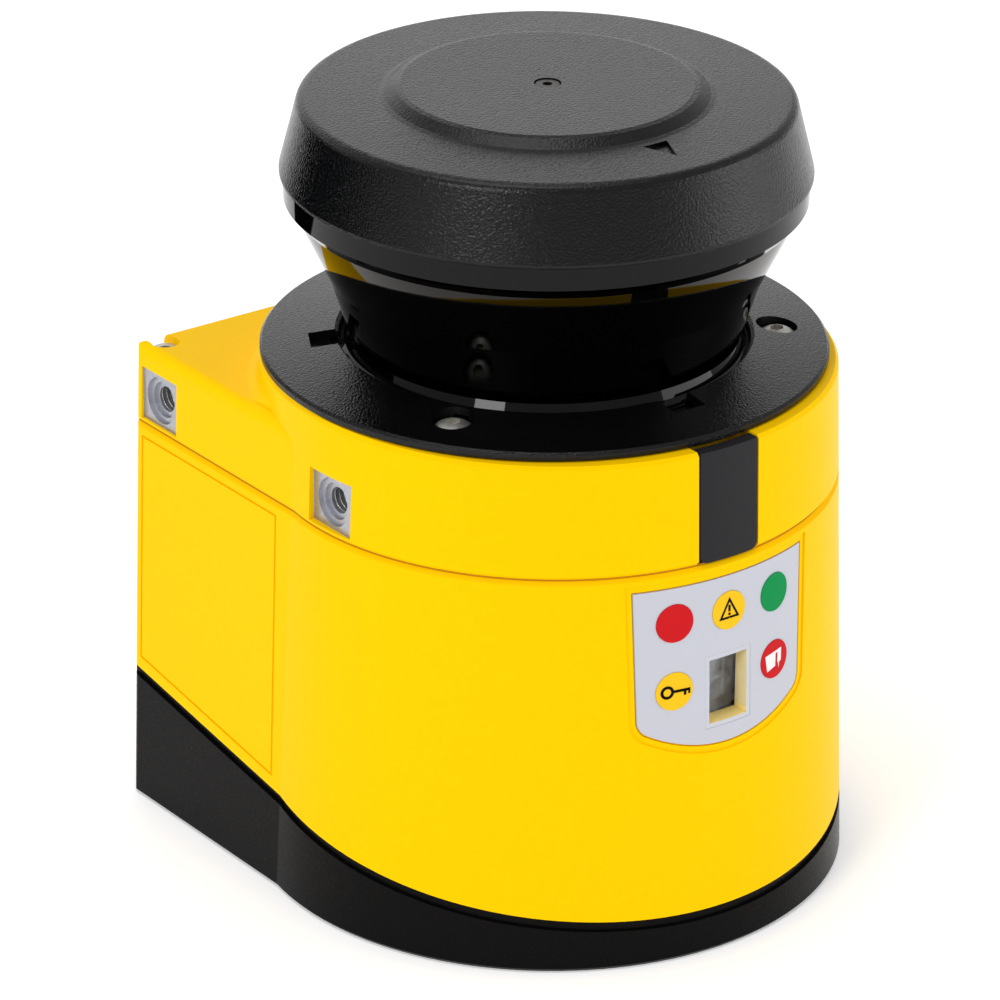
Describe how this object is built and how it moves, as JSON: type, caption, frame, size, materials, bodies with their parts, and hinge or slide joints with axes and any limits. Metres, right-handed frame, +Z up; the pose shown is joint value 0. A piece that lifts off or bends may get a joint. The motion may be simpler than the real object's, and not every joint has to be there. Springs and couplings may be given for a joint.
{
  "type": "safety laser scanner",
  "caption": "Compact safety laser scanner: yellow two-part cast housing, dark rotating-mirror optics head under a round cap, sloping connector base and display panel.",
  "frame": {"origin": "on the scan axis, in the plane the base stands on", "axes": "+Z up along the scan axis; the front with the display faces -Y; +X points across the unit, towards a viewer's right when the viewer faces the front"},
  "size_m": [0.1124, 0.1171, 0.152],
  "materials": {
    "base_plastic": "fine spark-eroded texture",
    "seal_rubber": "matt",
    "zinc_screw": "satin",
    "plug_plastic": "fine texture",
    "circuit_board": "satin",
    "terminal_plastic": "satin",
    "connector_black": "satin",
    "connector_ivory": "satin",
    "yellow_paint": "satin paint on die-cast aluminium",
    "stainless_screw": "satin",
    "grey_foil": "satin",
    "clear_window": "clear",
    "digit_module": "semi-gloss",
    "red_plastic": "satin",
    "amber_plastic": "satin",
    "green_plastic": "satin",
    "cover_rubber": "coarse texture",
    "nickel_brass": "satin",
    "chip_epoxy": "matt",
    "module_can": "satin",
    "cast_chassis": "as cast",
    "optical_glass": "polished",
    "laser_barrel": "turned",
    "diode_can": "turned",
    "sensor_lens": "clear",
    "black_texture": "spark-eroded texture",
    "smoked_window": "polished, infrared-clear",
    "motor_can": "turned",
    "copper_stator": "lacquered winding",
    "bearing_steel": "ground",
    "magnet_ferrite": "matt",
    "encoder_metal": "etched",
    "carrier_plastic": "satin",
    "mirror_coating": "front-coated",
    "black_screw": "blackened"
  },
  "bodies": {
    "housing": {"connector_base": "base_plastic", "base_gasket": "seal_rubber", "base_screws": "zinc_screw", "cable_plugs": "plug_plastic", "terminal_board": "circuit_board", "terminal_block": "terminal_plastic", "system_plug": "connector_black", "system_header": "connector_ivory", "lower_housing": "yellow_paint", "housing_gasket": "seal_rubber", "upper_housing": "yellow_paint", "housing_screws": "stainless_screw", "display_foil": "grey_foil", "display_window": "clear_window", "display_module": "digit_module", "display_board": "circuit_board", "red_lens": "red_plastic", "warning_lens": "amber_plastic", "green_lens": "green_plastic", "restart_lens": "amber_plastic", "soiling_lens": "red_plastic", "interface_socket": "nickel_brass", "main_board": "circuit_board", "processor_chips": "chip_epoxy", "power_module": "module_can", "optics_chassis": "cast_chassis", "chassis_screws": "zinc_screw", "receiver_lens": "optical_glass", "laser_module": "laser_barrel", "receiver_board": "circuit_board", "receiver_diode": "diode_can", "dust_sensors": "sensor_lens", "clamp_ring": "black_texture", "ring_screws": "stainless_screw", "optics_cover": "smoked_window", "optics_seal": "seal_rubber", "motor_bracket": "cast_chassis", "motor_housing": "motor_can", "motor_stator": "copper_stator", "motor_bearings": "bearing_steel", "encoder_sensor": "chip_epoxy", "head_cap": "black_texture", "cap_seal": "seal_rubber", "cap_screw": "black_screw"},
    "interface_cover": {"interface_cover": "cover_rubber"},
    "rotor": {"motor_shaft": "bearing_steel", "rotor_magnet": "magnet_ferrite", "encoder_disc": "encoder_metal", "mirror_carrier": "carrier_plastic", "scan_mirror": "mirror_coating"}
  },
  "joints": [
    {"name": "mirror_spin", "type": "hinge", "parent": "housing", "child": "rotor", "pos_m": [0, 0, 0.1145], "axis": [0, 0, 1], "continuous": true},
    {"name": "interface_cover_pull", "type": "slide", "parent": "housing", "child": "interface_cover", "axis": [0, -1, 0], "range_m": [0, 0.014]}
  ]
}
